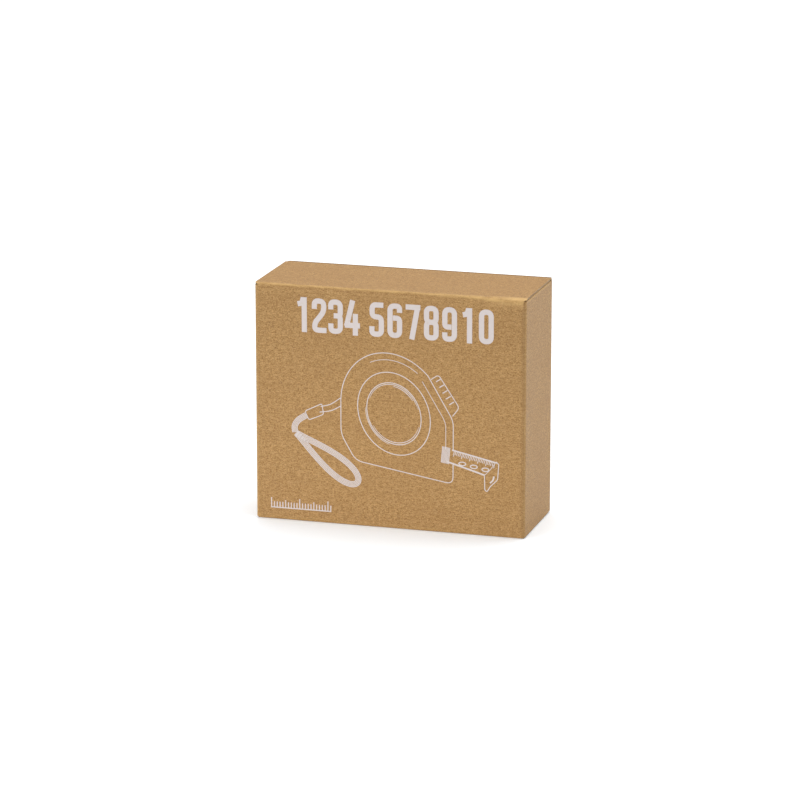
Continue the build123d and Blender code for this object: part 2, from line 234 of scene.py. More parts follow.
def moulded(name, color, roughness=0.5, grain=2600.0, strength=0.25, tint=0.25, **more):
    """Moulded plastic or rubber with a spark-eroded grain and a slightly uneven colour."""
    n = Nodes(name)
    at = n.place()
    grainy = n.noise(at, grain, 2.0)
    uneven = n.noise(at, 90.0, 3.0)
    dark = tuple(c * (1 - tint) for c in color[:3]) + (1.0,)
    surface = n.mix(n.ramp(uneven, 0.3, 0.7), dark, color)
    rough = n.math("ADD", n.math("MULTIPLY", n.math("SUBTRACT", uneven, 0.5), 0.3), roughness)
    n.bump(grainy, strength, 0.00008)
    return n.finish(surface, rough, **more)


def metal(name, color, roughness, stretch=(40.0, 4000.0, 4000.0)):
    """Metal with fine brushing along one axis."""
    n = Nodes(name)
    at = n.place()
    brushed = n.noise(n.stretched(at, stretch), 1.0, 3.0)
    smudge = n.noise(at, 220.0, 2.0)
    surface = n.mix(n.math("MULTIPLY", brushed, 0.35), color, tuple(c * 0.7 for c in color[:3]) + (1.0,))
    rough = n.math("ADD", n.math("MULTIPLY", smudge, 0.25), roughness - 0.1)
    n.bump(brushed, 0.15, 0.00003)
    return n.finish(surface, rough, Metallic=1.0)


def line_mask(n, value, period, width):
    """1 on a line of this width that repeats every period."""
    phase = n.math("PINGPONG", value, period / 2)
    return n.math("LESS_THAN", phase, width / 2)


def blade_paint(hook_face):
    """Yellow lacquer with black graduations from the hook's inner face, on both edges of the blade."""
    n = Nodes("blade_paint")
    at = n.place()
    axes = n.add("SeparateXYZ", Vector=at)
    along = n.math("SUBTRACT", hook_face * MM, axes.outputs[0])
    side = n.math("ABSOLUTE", axes.outputs[1])
    ink = None
    for period, width, reach in ((0.001, 0.00022, 0.0069), (0.005, 0.00026, 0.0055), (0.010, 0.0003, 0.0035)):
        tick = n.math("MULTIPLY", line_mask(n, along, period, width), n.math("GREATER_THAN", side, reach))
        ink = tick if ink is None else n.math("MAXIMUM", ink, tick)
    scuff_and_highlight = n.noise(at, 900.0, 3.0)
    color = n.mix(n.ramp(scuff_and_highlight, 0.2, 0.8), rgb(243, 190, 22), rgb(252, 210, 52))
    color = n.mix(ink, color, rgb(24, 22, 20))
    n.bump(scuff_and_highlight, 0.08, 0.00003)
    return n.finish(color, 0.33, Coat_Weight=0.35, Coat_Roughness=0.2)


def label_paper(centre):
    """White label with a ring of graduations and a plain coloured band."""
    n = Nodes("label_paper")
    at = n.place()
    axes = n.add("SeparateXYZ", Vector=at)
    x = n.math("SUBTRACT", axes.outputs[0], centre[0] * MM)
    z = n.math("SUBTRACT", axes.outputs[2], centre[1] * MM)
    radius = n.math("SQRT", n.math("ADD", n.math("MULTIPLY", x, x), n.math("MULTIPLY", z, z)))
    angle = n.math("ADD", n.math("ARCTAN2", z, x), math.radians(198))
    ink = None
    for count, width, inner in ((100, 0.016, 0.0158), (20, 0.022, 0.0146), (10, 0.03, 0.0136)):
        tick = line_mask(n, angle, 2 * math.pi / count, width)
        tick = n.math("MULTIPLY", tick, n.math("GREATER_THAN", radius, inner))
        ink = tick if ink is None else n.math("MAXIMUM", ink, tick)
    ink = n.math("MULTIPLY", ink, n.math("LESS_THAN", radius, 0.0172))
    paper = n.mix(n.ramp(n.noise(at, 1500.0), 0.3, 0.7), rgb(232, 229, 220), rgb(246, 244, 238))
    stripe = n.math("LESS_THAN", n.math("ABSOLUTE", z), 0.0026)
    band = n.math("MULTIPLY", stripe, n.math("LESS_THAN", radius, 0.0082))
    rim = n.math("MULTIPLY", n.math("GREATER_THAN", radius, 0.0084), n.math("LESS_THAN", radius, 0.0088))
    band = n.math("MAXIMUM", band, rim)
    color = n.mix(band, paper, rgb(235, 178, 30))
    color = n.mix(ink, color, rgb(30, 30, 32))
    return n.finish(color, 0.5, Coat_Weight=0.2, Coat_Roughness=0.25)


def webbing(name, color):
    """Woven polyester tape: crossed yarns from the sheet's own coordinates, painted lighter where the yarns
    stand up.
    """
    n = Nodes(name)
    at = n.attribute("board").outputs["Vector"]
    axes = n.add("SeparateXYZ", Vector=at)
    across = n.math("SINE", n.math("MULTIPLY", axes.outputs[1], 2 * math.pi / 0.00085))
    along = n.math("SINE", n.math("MULTIPLY", axes.outputs[0], 2 * math.pi / 0.0012))
    yarn = n.math("MULTIPLY", across, along)
    fuzz = n.noise(at, 2500.0, 3.0)
    height = n.math("ADD", n.math("MULTIPLY", yarn, 0.35), fuzz)
    lit_yarn_color = tuple(min(1.0, c * 2.3 + 0.012) for c in color[:3]) + (1.0,)
    n.bump(height, 0.8, 0.0003)
    # lighter where the weave stands up: a painted highlight on the yarns and painted shade between them, with
    # a random tone from the fuzz
    return n.finish(n.mix(n.ramp(height, 0.2, 0.9), color, lit_yarn_color), 0.85, Sheen_Weight=0.35)


KRAFT = kraft("kraft_board")
KRAFT_EDGE = kraft("kraft_board_cut_edge", edge=True)
KRAFT_PLAIN = kraft("kraft_board_inner", where=None)
INK = printing_ink()


# ---- Folded board ----
def smooth(value, low, high):
    """0 below low, 1 above high, eased between."""
    t = min(max((value - low) / (high - low), 0.0), 1.0)
    return t * t * (3 - 2 * t)


def samples(*stops):
    """Numbers through the stops: (start, end, count), (end, count), ... with shared ends."""
    values = [stops[0][0]]
    for stop in stops:
        low = values[-1]
        values.extend(low + (stop[-2] - low) * (i + 1) / stop[-1] for i in range(stop[-1]))
    return values


def new_piece(name, mesh, materials, body=None, smooth_faces=True):
    """A mesh as an object in the scene, riding on a body if one is given."""
    for material in materials:
        mesh.materials.append(material)
    if smooth_faces:
        mesh.shade_smooth()
    piece = bpy.data.objects.new(name, mesh)
    scene.collection.objects.link(piece)
    if body:
        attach(piece, body)
    return piece


def put_attribute(mesh, name, values, kind="FLOAT"):
    """One value per vertex."""
    attribute = mesh.attributes.new(name, kind, "POINT")
    key = "vector" if kind == "FLOAT_VECTOR" else "value"
    attribute.data.foreach_set(key, np.array(values, np.float32).ravel())


def board_piece(name, place, us, vs, wear, thickness=BOARD, keep=lambda u, v: True, origin=(0, 0),
                dark=None, flat=lambda u, v: (u, v), materials=(KRAFT, KRAFT_EDGE)):
    """A sheet with thickness. place(u, v) is a point of its outer side, and the inner side lies behind it.

    keep(u, v) says which cells of the grid exist, so a sheet can have steps in its outline. flat(u, v) is the
    same point on the sheet before it was folded, and origin moves that sheet to its own part of the texture.
    The wear function gives how scuffed the outer side is, with a painted highlight on folds, and dark(u, v)
    its painted shade, both 0 to 1.
    """
    step = 0.01  # for slopes
    grid, normals = {}, {}
    for i, u in enumerate(us):
        for j, v in enumerate(vs):
            p = Vector(place(u, v))
            du = Vector(place(u + step, v)) - Vector(place(u - step, v))
            dv = Vector(place(u, v + step)) - Vector(place(u, v - step))
            grid[i, j], normals[i, j] = p, du.cross(dv).normalized()
    cells = [
        (i, j)
        for i in range(len(us) - 1)
        for j in range(len(vs) - 1)
        if keep((us[i] + us[i + 1]) / 2, (vs[j] + vs[j + 1]) / 2)
    ]
    index, points, boards, scuff_and_highlight, darkened = {}, [], [], [], []

    def vertex(i, j, side):
        if (i, j, side) not in index:
            index[i, j, side] = len(points)
            points.append((grid[i, j] - normals[i, j] * thickness * side) * MM)
            a, b = flat(us[i], vs[j])
            boards.append(((a + origin[0]) * MM, (b + origin[1]) * MM, side * thickness * MM))
            scuff_and_highlight.append(wear(us[i], vs[j]) * (1 - 0.8 * side))
            darkened.append(0.0 if dark is None else dark(us[i], vs[j]) * (1 - side))
        return index[i, j, side]

    faces, slots, rim = [], [], {}
    for i, j in cells:
        ring = [(i, j), (i + 1, j), (i + 1, j + 1), (i, j + 1)]
        faces.append([vertex(*p, 0) for p in ring])
        faces.append([vertex(*p, 1) for p in reversed(ring)])
        slots += [0, 0]
        for k in range(4):
            edge = (ring[k], ring[(k + 1) % 4])
            if edge[::-1] in rim:
                del rim[edge[::-1]]
            else:
                rim[edge] = True
    for a, b in rim:
        faces.append([vertex(*b, 0), vertex(*a, 0), vertex(*a, 1), vertex(*b, 1)])
        slots.append(1)
    mesh = bpy.data.meshes.new(name)
    mesh.from_pydata(points, [], faces)
    mesh.polygons.foreach_set("material_index", slots)
    put_attribute(mesh, "board", boards, "FLOAT_VECTOR")
    put_attribute(mesh, "wear", scuff_and_highlight)
    put_attribute(mesh, "dark", darkened)
    piece = new_piece(name, mesh, materials)
    rim_edges = {frozenset((vertex(*a, s), vertex(*b, s))) for a, b in rim for s in (0, 1)}
    sharp = [frozenset(e.vertices) in rim_edges for e in mesh.edges]
    attribute = mesh.attributes.new("sharp_edge", "BOOLEAN", "EDGE")
    attribute.data.foreach_set("value", sharp)
    return piece


def ripple(a, b, seed):
    """A slow uneven wave between about -1 and 1."""
    return (
        math.sin(0.083 * a + 1.7 * seed) * math.cos(0.071 * b - 0.9 * seed)
        + 0.6 * math.sin(0.19 * a - 0.13 * b + 2.3 * seed)
        + 0.35 * math.sin(0.37 * b + 0.21 * a + seed)
    ) / 1.6


def face_dip(x, z):
    """How far the printed face stands back from its flat plane."""
    inside = smooth(FLAT_X - abs(x), 0, 2.5) * smooth(z, 1, 3) * smooth(HEIGHT - z, 1, 3)
    across = 1 - (x / FLAT_X) ** 4
    up = math.sin(math.pi * min(max(z / HEIGHT, 0), 1)) ** 0.7
    return 0.05 * inside + across * up * (0.2 + 0.09 * ripple(x, z, 1))


def fold_radius(x):
    """The lid's fold is soft and uneven, and more crushed towards its right end."""
    return 1.0 + 0.16 * ripple(4 * x, 0, 3) + 1.1 * smooth(x, 26, 46) + 0.35 * smooth(-x, 38, 46)


def fold_setback(x, z):
    """How far the face has curved back at height z where it turns into the lid."""
    radius = fold_radius(x)
    rise = min(max(z - (HEIGHT - radius), 0), radius)
    return radius - math.sqrt(radius ** 2 - rise ** 2)


# Lengths along the front sheet, from the bottom panel's rear edge to the end of the lid
FOLD_RUN = 1.57  # a quarter turn of board at FOLD_R
V_FOOT = 2 * (HALF_D - 2.0) + 1.2
V_WALL = V_FOOT + FOLD_RUN
V_TOP = V_WALL + HEIGHT - 2.0
V_LID = V_TOP + FOLD_RUN
LID_RUN = LID_SEAM_Y + HALF_D - FOLD_R


def front_sheet(u, v):
    """Bottom panel, foot fold, printed face, top fold and lid as one strip of board: u across, v along."""
    if v < V_WALL:
        wide = 1 + (BOTTOM_HALF / FLAT_X - 1) * (1 - smooth(v, V_FOOT, V_WALL))
        if v < V_FOOT:
            return u * wide, -HALF_D + FOLD_R + V_FOOT - v, 0.0
        a = (v - V_FOOT) / (V_WALL - V_FOOT) * math.pi / 2
        return u * wide, -HALF_D + FOLD_R * (1 - math.sin(a)), FOLD_R * (1 - math.cos(a))
    radius = fold_radius(u)
    top = HEIGHT - radius
    if v < V_TOP:
        z = FOLD_R + (v - V_WALL) / (V_TOP - V_WALL) * (top - FOLD_R)
        return u, -HALF_D + face_dip(u, z), z
    if v < V_LID:
        a = (v - V_TOP) / (V_LID - V_TOP) * math.pi / 2
        start = -HALF_D + face_dip(u, top) * (1 - a / (math.pi / 2))
        wide = 1 + (LID_HALF / FLAT_X - 1) * smooth(a, 0.5, 1.2)
        return u * wide, start + radius * (1 - math.cos(a)), top + radius * math.sin(a)
    wide = LID_HALF / FLAT_X
    y = -HALF_D + radius + (v - V_LID) / LID_RUN * (LID_SEAM_Y + HALF_D - radius)
    t = (v - V_LID) / LID_RUN
    arch = (1 - (u / FLAT_X) ** 2) * math.sin(math.pi * min(max(t, 0), 1))
    sag = 0.1 * arch * (1 + 0.5 * ripple(u, y, 5))
    return u * wide, y, HEIGHT - sag


def face_wear(u, v):
    """Scuffing and a painted highlight along the top fold, the lines pressed beside it, and scuffing at the
    foot.
    """
    # the painted highlight along the fold widens and grows brighter towards the right end
    fold = math.exp(-(((v - (V_TOP + V_LID) / 2 - 0.1) / (0.5 + 0.6 * smooth(u, 10, 44))) ** 2))
    fold *= 0.7 + 0.15 * ripple(6 * u, 0, 2) + 0.25 * smooth(u, 24, 44)
    foot = 0.25 * math.exp(-(((v - (V_FOOT + V_WALL) / 2) / 0.9) ** 2))
    for below, strength in ((1.1, 0.55), (2.1, 0.3)):  # how far the pressed lines are below the fold
        line = math.exp(-(((v - V_TOP + below + 0.1 * ripple(u, 0, 5)) / 0.3) ** 2))
        fold += strength * line * max(0.35 + 0.65 * ripple(3 * u, 9 * below, 6), 0)
    return min(fold + foot, 1.0)


def face_dark(u, v):
    """Painted shade: a darker line along the face's right end, where it turns round to the side."""
    on_wall = smooth(v, V_WALL, V_WALL + 2) * (1 - smooth(v, V_TOP - 1, V_TOP))
    return 0.3 * math.exp(-(((FLAT_X - u) / 0.5) ** 2)) * on_wall


front_us = samples((-FLAT_X, -FLAT_X + 2, 3), (FLAT_X - 2, 44), (FLAT_X, 3))
front_vs = samples(
    (0, V_FOOT, 12), (V_WALL, 6), (V_WALL + 3, 3), (V_TOP - 3, 36), (V_TOP, 14),
    (V_LID, 10), (V_LID + 3, 4), (V_LID + LID_RUN, 14),
)
front = board_piece("carton_face_and_lid", front_sheet, front_us, front_vs, face_wear, dark=face_dark)
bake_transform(front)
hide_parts("front_panel", "bottom_panel", "lid_fold", "lid_panel")


# The side walls, the back and the four upright folds, as strips round the carton.
def round_corner(centre_x, centre_y, start, angle):
    """(x, y) on an upright fold, start and angle in degrees."""
    a = math.radians(start + angle)
    return centre_x + FOLD_R * math.cos(a), centre_y + FOLD_R * math.sin(a)


QUARTER = math.pi / 2 * FOLD_R
SIDE_RUN = 2 * (HALF_D - FOLD_R)
BACK_RUN = 2 * FLAT_X
GLUE_EDGE = 0.4  # how far the left side runs past its rear fold's start
LEFT_START, LEFT_RUN = HALF_D - FOLD_R + GLUE_EDGE, SIDE_RUN + GLUE_EDGE


def wall_bow(s, run, z, seed):
    """How far a wall stands in from its flat plane, s along its run."""
    t = min(max(s / run, 0), 1)
    bow = math.sin(math.pi * t) * math.sin(math.pi * min(max(z / HEIGHT, 0), 1))
    return bow * (0.16 + 0.08 * ripple(s, z, seed))


def side_height(z):
    """The side walls stand a little higher beside their dust flaps, up to the lid."""
    return z + max(z - NOTCH_Z, 0) * 1.1


def corner_height(z):
    """The front folds rise a little less than the side walls."""
    return z + max(z - NOTCH_Z, 0) * 0.8


def right_wrap(u, z):
    """From the face's right end round the right side and the back to the rear left fold. u runs that way."""
    if u < QUARTER:
        z = corner_height(z)
        x, y = round_corner(FLAT_X, -HALF_D + FOLD_R, -90, math.degrees(u / FOLD_R))
        return x, y + fold_setback(FLAT_X, z) * (1 - u / QUARTER), z
    u -= QUARTER
    if u < SIDE_RUN:
        z = side_height(z)
        return HALF_W - wall_bow(u, SIDE_RUN, z, 2), -HALF_D + FOLD_R + u, z
    u -= SIDE_RUN
    if u < QUARTER:
        z = min(side_height(z), BACK_TOP)
        x, y = round_corner(FLAT_X, HALF_D - FOLD_R, 0, math.degrees(u / FOLD_R))
        return x, y, z
    u -= QUARTER
    if u < BACK_RUN - BOARD:
        return FLAT_X - u, HALF_D - wall_bow(u, BACK_RUN, z, 4), z
    u -= BACK_RUN - BOARD
    x, y = round_corner(-FLAT_X + BOARD, HALF_D - FOLD_R, 90, math.degrees(u / FOLD_R))
    return x, y, z


def left_wrap(u, z):
    """The left side, from its glued rear edge forward, and the fold to the face. u runs that way."""
    if u < LEFT_RUN:
        z = side_height(z)
        return -HALF_W + wall_bow(u, LEFT_RUN, z, 7), LEFT_START - u, z
    z = corner_height(z)
    x, y = round_corner(-FLAT_X, -HALF_D + FOLD_R, 180, math.degrees((u - LEFT_RUN) / FOLD_R))
    return x, y + fold_setback(-FLAT_X, z) * (u - LEFT_RUN) / QUARTER, z


def upright_wear(*folds):
    """Scuffing on the upright folds at these places, and along the top and the foot."""

    def wear(u, z):
        value = sum(0.32 * math.exp(-(((u - f) / 0.55) ** 2)) for f in folds)
        value += 0.3 * math.exp(-(((z - HEIGHT) / 1.0) ** 2)) + 0.3 * math.exp(-((z / 1.0) ** 2))
        return min(value * (0.8 + 0.3 * ripple(3 * z, u, 4)), 1.0)

    return wear


def crease_shade(fold):
    """Painted shade: a darker line on the face's right-hand fold."""

    def dark(u, z):
        return 0.42 * math.exp(-(((u - fold) / 0.45) ** 2)) * (0.8 + 0.2 * ripple(5 * z, 0, 2))

    return dark


RIGHT_TOTAL = 3 * QUARTER + SIDE_RUN + BACK_RUN - BOARD


def side_keep(y, z):
    """A side wall has a notch for its dust flap."""
    return z < NOTCH_Z or (z < SIDE_TOP and not FLAP_FRONT < y < FLAP_BACK)


def right_keep(u, z):
    """The back is taller than the sides."""
    if QUARTER < u < QUARTER + SIDE_RUN:
        return side_keep(-HALF_D + FOLD_R + u - QUARTER, z)
    return z < SIDE_TOP or u >= QUARTER * 1.5 + SIDE_RUN


right_us = samples(
    (0, QUARTER, 6),
    (QUARTER + FLAP_FRONT + HALF_D - FOLD_R, 2),
    (QUARTER + FLAP_BACK + HALF_D - FOLD_R, 14),
    (QUARTER + SIDE_RUN, 1),
    (2 * QUARTER + SIDE_RUN, 6),
    (RIGHT_TOTAL - QUARTER, 30),
    (RIGHT_TOTAL, 5),
)
wall_vs = samples((WALL_FOOT, 1.5, 2), (NOTCH_Z, 26), (SIDE_TOP, 1), (BACK_TOP, 2))
right = board_piece(
    "carton_right_and_back", right_wrap, right_us, wall_vs,
    upright_wear(QUARTER / 2, QUARTER * 1.5 + SIDE_RUN), keep=right_keep, origin=(120, 0),
    dark=crease_shade(QUARTER * 0.25),
)
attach(right, "carton")
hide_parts("right_panel", "back_panel")

left_us = samples(
    (0, LEFT_START - FLAP_BACK, 1), (LEFT_START - FLAP_FRONT, 14), (LEFT_RUN, 2), (LEFT_RUN + QUARTER, 6),
)
left = board_piece(
    "carton_left", left_wrap, left_us, samples((WALL_FOOT, 1.5, 2), (NOTCH_Z, 26), (SIDE_TOP, 1)),
    upright_wear(LEFT_RUN + QUARTER / 2), keep=lambda u, z: side_keep(LEFT_START - u, z), origin=(320, 0),
)
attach(left, "carton")
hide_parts("left_panel")


# The tuck: the lid's rear strip, its fold, and the flap that goes inside the back.
TUCK_LEAN = math.radians(8)
TUCK_HALF = node_box("lid_tuck_flap")[1][0]
TUCK_DROP = 11.5
V_TUCK_FOLD = TUCK_Y - LID_SEAM_Y
V_TUCK = V_TUCK_FOLD + FOLD_R * (math.pi / 2 + TUCK_LEAN)
CORNER = 7.0  # radius of the tuck's free corners


def tuck_half(v):
    """Half width at v: the lid's, then stepped in at the fold, then rounded off at the free corners."""
    free = V_TUCK + TUCK_DROP - v
    if free < CORNER:
        return TUCK_HALF - CORNER + math.sqrt(max(CORNER ** 2 - (CORNER - free) ** 2, 0))
    return LID_HALF + (TUCK_HALF - LID_HALF) * smooth(v, V_TUCK_FOLD + 0.6, V_TUCK_FOLD + 1.1)


def tuck_sheet(u, v):
    """The rear strip of the lid, the tuck's fold and the tuck. u is the share of the half width."""
    x = u * tuck_half(v)
    if v < V_TUCK_FOLD:
        return x, LID_SEAM_Y + v, HEIGHT
    if v < V_TUCK:
        a = (v - V_TUCK_FOLD) / FOLD_R
        return x, TUCK_Y + FOLD_R * math.sin(a), TUCK_Z + FOLD_R * math.cos(a)
    a = math.pi / 2 + TUCK_LEAN
    y, z = TUCK_Y + FOLD_R * math.sin(a), TUCK_Z + FOLD_R * math.cos(a)
    down = v - V_TUCK
    return x, y + down * math.cos(a), z - down * math.sin(a)


V_TUCK_END = V_TUCK + TUCK_DROP
tuck_vs = samples(
    (0, V_TUCK_FOLD, 2), (V_TUCK_FOLD + 0.6, 3), (V_TUCK_FOLD + 1.1, 6), (V_TUCK, 3),
    (V_TUCK_END - CORNER, 3), (V_TUCK_END - 2.5, 6), (V_TUCK_END - 0.02, 8),
)
tuck = board_piece(
    "carton_lid_tuck", tuck_sheet, samples((-1, 1, 40)), tuck_vs,
    lambda u, v: 0.7 * math.exp(-(((v - (V_TUCK_FOLD + V_TUCK) / 2) / 0.8) ** 2)), origin=(0, 130),
    flat=lambda u, v: (u * tuck_half(v), v),
)
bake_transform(tuck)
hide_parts("tuck_fold", "lid_tuck_flap")


# The top dust flaps, folded over from the side walls.
DUST_R = 0.55
FLAP_RUN = HALF_W - DUST_R - DUST_LOW[0]
FRONT_TAPER, BACK_TAPER = 0.47, 2.5  # the flap's front edge per mm inward, and its back edge in all


def dust_piece(side, name, replaced):
    """side is 1 for the right and -1 for the left."""
    root_x = HALF_W - DUST_R
    top = DUST_HIGH[2]
    lead = top - DUST_R - NOTCH_Z  # flat stretch of wall below the fold
    quarter = math.pi / 2 * DUST_R
    v_fold, v_flat = lead, lead + quarter
    v_end = v_flat + FLAP_RUN

    def place(u, v):
        inward = max(v - v_flat, 0.0)
        low = FLAP_FRONT + FRONT_TAPER * max(inward - 0.1, 0)
        high = FLAP_BACK - BACK_TAPER * inward / FLAP_RUN
        y = low + (high - low) * u
        if v < v_fold:
            x, z = HALF_W, NOTCH_Z + v
        elif v < v_flat:
            a = (v - v_fold) / DUST_R
            x, z = root_x + DUST_R * math.cos(a), top - DUST_R + DUST_R * math.sin(a)
        else:
            x, z = root_x - inward, top
        return side * x, (y if side > 0 else low + high - y), z

    vs = samples((0, lead, 1), (v_flat, 6), (v_flat + 1.0, 2), (v_end, 8))
    piece = board_piece(
        name, place, samples((0, 1, 14)), vs,
        lambda u, v: 0.5 * math.exp(-(((v - v_fold - quarter / 2) / 0.6) ** 2)),
        origin=(40 * side, 210), flat=lambda u, v: (place(u, v)[1], v),
    )
    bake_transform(piece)
    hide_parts(*replaced)


dust_piece(1, "carton_right_dust_flap", ("right_dust_fold", "right_dust_flap"))
dust_piece(-1, "carton_left_dust_flap", ("left_dust_fold", "left_dust_flap"))

for name in ("glue_flap", "bottom_inner_flap", "bottom_left_dust_flap", "bottom_right_dust_flap"):
    nodes[name].data.materials.clear()
    nodes[name].data.materials.append(KRAFT_PLAIN)


# ---- The print ----
class Print:
    """Strokes of ink gathered into one mesh. place(across, up, lift) puts a point above the surface."""

    SUNK = 0.02  # how far the ink's sides reach into the surface

    def __init__(self, place):
        self.place = place
        self.points, self.faces = [], []
        self.count = 0

    def add_layer(self, ring, depth):
        start = len(self.points)
        self.points += [[c * MM for c in self.place(a, b, depth)] for a, b in ring]
        return list(range(start, start + len(ring)))

    def ribbon(self, line, width, closed=False):
        """A stroke along a line of points. width is a number, or a function of the share of the way along."""
        n = len(line)
        left, right = [], []
        for k, (x, y) in enumerate(line):
            before = line[k - 1] if closed or k else (x, y)
            after = line[(k + 1) % n] if closed or k < n - 1 else (x, y)
            units = []
            for dx, dy in ((x - before[0], y - before[1]), (after[0] - x, after[1] - y)):
                length = math.hypot(dx, dy)
                if length > 1e-9:
                    units.append((dx / length, dy / length))
            tx, ty = sum(u[0] for u in units), sum(u[1] for u in units)
            length = math.hypot(tx, ty)
            tx, ty = tx / length, ty / length
            widen = 1 / max(tx * units[0][0] + ty * units[0][1], 0.5)
            half = (width(k / (n - 1)) if callable(width) else width) / 2 * widen
            left.append((x - ty * half, y + tx * half))
            right.append((x + ty * half, y - tx * half))
        self.count += 1
        lift = 0.018 + 0.005 * (self.count % 4)  # strokes that cross don't share a plane
        rows = [self.add_layer(side, depth) for side, depth in
                ((left, lift), (right, lift), (right, -self.SUNK), (left, -self.SUNK))]
        for k in range(n if closed else n - 1):
            m = (k + 1) % n
            for r in range(4):
                a, b = rows[r], rows[(r + 1) % 4]
                self.faces.append([a[k], b[k], b[m], a[m]])
        if not closed:
            self.faces.append([row[0] for row in rows[::-1]])
            self.faces.append([row[-1] for row in rows])

    def piece(self, name, material, body, slot):
        mesh = bpy.data.meshes.new(name)
        mesh.from_pydata(self.points, [], self.faces)
        made = new_piece(name, mesh, [material], body, smooth_faces=False)
        return made


def on_face(across, up, lift):
    """A point of the printed face."""
    x = across - HALF_W
    return x, -HALF_D + face_dip(x, up) - lift, up


def rounded(points, radius, closed=False):
    """A polyline with its corners rounded."""
    n, out, steps = len(points), [], 6
    for k, p in enumerate(points):
        if not closed and k in (0, n - 1):
            out.append(p)
            continue
        a, b = Vector(points[k - 1]), Vector(points[(k + 1) % n])
        c = Vector(p)
        to_a, to_b = (a - c), (b - c)
        reach = min(radius, to_a.length / 2.001, to_b.length / 2.001)
        start, end = c + to_a.normalized() * reach, c + to_b.normalized() * reach
        for i in range(steps + 1):
            t = i / steps
            q = start * (1 - t) ** 2 + c * 2 * t * (1 - t) + end * t * t
            out.append((q.x, q.y))
    return out


def curve(points, steps=8):
    """A smooth line through the points."""
    n, out = len(points), []
    for k in range(n - 1):
        p = [Vector(points[min(max(k + d, 0), n - 1)]) for d in (-1, 0, 1, 2)]
        for i in range(steps):
            t = i / steps
            q = 0.5 * (2 * p[1] + (p[2] - p[0]) * t + (2 * p[0] - 5 * p[1] + 4 * p[2] - p[3]) * t * t
                       + (3 * p[1] - p[0] - 3 * p[2] + p[3]) * t ** 3)
            out.append((q.x, q.y))
    out.append(tuple(points[-1]))
    return out


# Numerals drawn as strokes in one box: (points, corner radius, closed).
DIGIT_W, DIGIT_H = 5.3, 12.0
L, R, B, T, M = 1.0, 4.3, 1.0, 11.0, 6.3  # left, right, bottom, top and middle of the strokes' centre lines
NUMERALS = {
    "0": [([(L, B), (R, B), (R, T), (L, T)], 1.7, True)],
    "1": [([(3.2, 0), (3.2, 12)], 0, False), ([(0.9, 9.6), (2.4, 9.9), (2.9, 11.8)], 1.2, False)],
    "2": [([(L, 8.2), (L, T), (R, T), (R, 7.4), (L + 0.1, 3.4), (L + 0.1, B), (5.2, B)], 1.7, False)],
    "3": [([(L, 8.4), (L, T), (R, T), (R, M), (2.0, M)], 1.6, False),
          ([(2.0, M), (R, M), (R, B), (L, B), (L, 3.6)], 1.6, False)],
    "4": [([(2.9, 12), (0.7, 3.0)], 0, False), ([(0.1, 3.4), (5.4, 3.4)], 0, False),
          ([(3.8, 0), (3.8, 7.4)], 0, False)],
    "5": [([(5.0, T), (1.1, T), (1.1, 6.9), (R, 6.9), (R, B), (L, B), (L, 3.6)], 1.5, False)],
    "6": [([(R, 8.8), (R, T), (L, T), (L, B), (R, B), (R, 6.9), (2.0, 6.9)], 1.7, False)],
    "7": [([(0.1, T), (5.2, T)], 0, False), ([(4.25, 11.2), (2.2, 0)], 0, False)],
    "8": [([(L, M), (R, M), (R, T), (L, T)], 1.5, True), ([(L, B), (R, B), (R, M), (L, M)], 1.5, True)],
    "9": [([(L, 3.2), (L, B), (R, B), (R, T), (L, T), (L, 5.1), (3.3, 5.1)], 1.7, False)],
}


def numeral(ink, digit, left, base, scale=1.0, stroke=1.8):
    """Add one digit, its lower left corner at (left, base)."""
    for points, radius, closed in NUMERALS[digit]:
        placed = [(left + x * scale, base + y * scale) for x, y in points]
        ink.ribbon(rounded(placed, radius * scale, closed) if radius else placed, stroke * scale, closed)


TITLE_BASE = 65.9
title = Print(on_face)
for text, left, pitch in (("1234", 14.2, 5.75), ("5678910", 40.0, 6.3)):
    for k, digit in enumerate(text):
        numeral(title, digit, left + k * pitch, TITLE_BASE)
title.piece("face_numerals", INK, "carton", "kraft_board")

TICKS_LEFT, TICKS_BASE, TICK_WIDTH = 5.4, 4.3, 0.36
ticks = Print(on_face)
for k in range(22):
    height = 3.3 if k % 10 == 0 else 2.6 if k % 5 == 0 else 1.9
    ticks.ribbon([(TICKS_LEFT + k, TICKS_BASE), (TICKS_LEFT + k, TICKS_BASE + height)], TICK_WIDTH)
ticks.ribbon([(5.2, 4.2), (26.6, 4.2)], TICK_WIDTH)
ticks.piece("face_scale", INK, "carton", "kraft_board")


# ---- Line art of a tape measure on a wrist strap ----
ART_X, ART_Z = 48.6, 39.9  # the middle of the drawn dial


def drawn(x, z):
    """Where a point of a plain side view lands in the drawing, which is seen a little from one side."""
    return ART_X + 0.515 * x, ART_Z - 0.085 * x + 0.57 * z


def dial(radius, start=0, end=360, count=72):
    """An arc about the dial's middle."""
    angles = (math.radians(start + (end - start) * k / count) for k in range(count + (end - start < 360)))
    return [drawn(radius * math.cos(a), radius * math.sin(a)) for a in angles]


drawing = Print(on_face)
LINE, FINE = 0.29, 0.2  # widths
for radius in (24.6, 18.4):
    drawing.ribbon(dial(radius), LINE, closed=True)
for radius, start, end in ((17.5, 20, 160), (17.3, 215, 345), (19.3, 180, 262), (16.5, 40, 92)):
    drawing.ribbon(dial(radius, start, end, 24), lambda s: 0.08 + 0.17 * math.sin(math.pi * s) ** 0.5)
